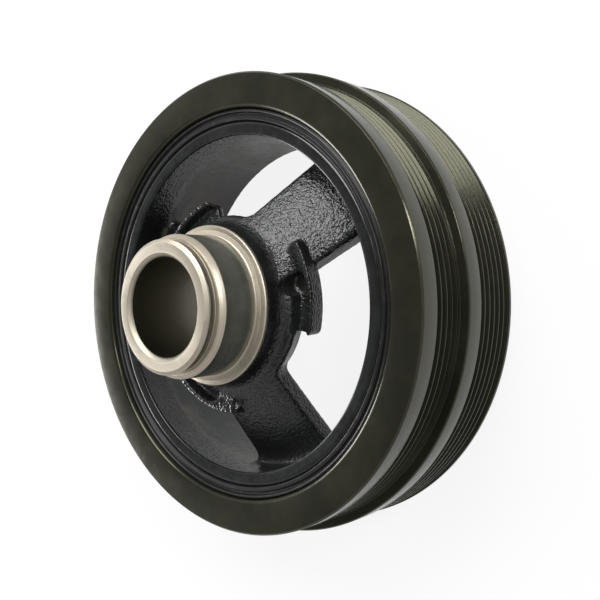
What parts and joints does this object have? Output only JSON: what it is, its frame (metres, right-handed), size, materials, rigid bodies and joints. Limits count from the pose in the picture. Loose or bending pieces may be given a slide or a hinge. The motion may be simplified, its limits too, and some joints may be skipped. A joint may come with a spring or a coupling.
{
  "type": "harmonic balancer",
  "caption": "Crankshaft damper pulley: a spoked cast hub with a machined snout, a rubber ring and an outer ring with two ribbed belt tracks.",
  "frame": {"origin": "centre of the part's front face, the plane it stands on, on the axis of the crank bore", "axes": "+Z along the bore axis from the front face towards the engine, +X through the middle of one spoke, +Y 90 degrees counter-clockwise from +X as seen from the engine side"},
  "size_m": [0.1905, 0.1904, 0.0891],
  "materials": {
    "hub_casting": "rough casting under glossy black paint, with the snout, collar and bore left bare and machined",
    "elastomer": "moulded black rubber, slightly glossy",
    "ring_casting": "machined all over under thin satin dark olive-grey paint"
  },
  "bodies": {
    "root": {"hub": "hub_casting", "elastomer_ring": "elastomer", "inertia_ring": "ring_casting"}
  },
  "joints": []
}
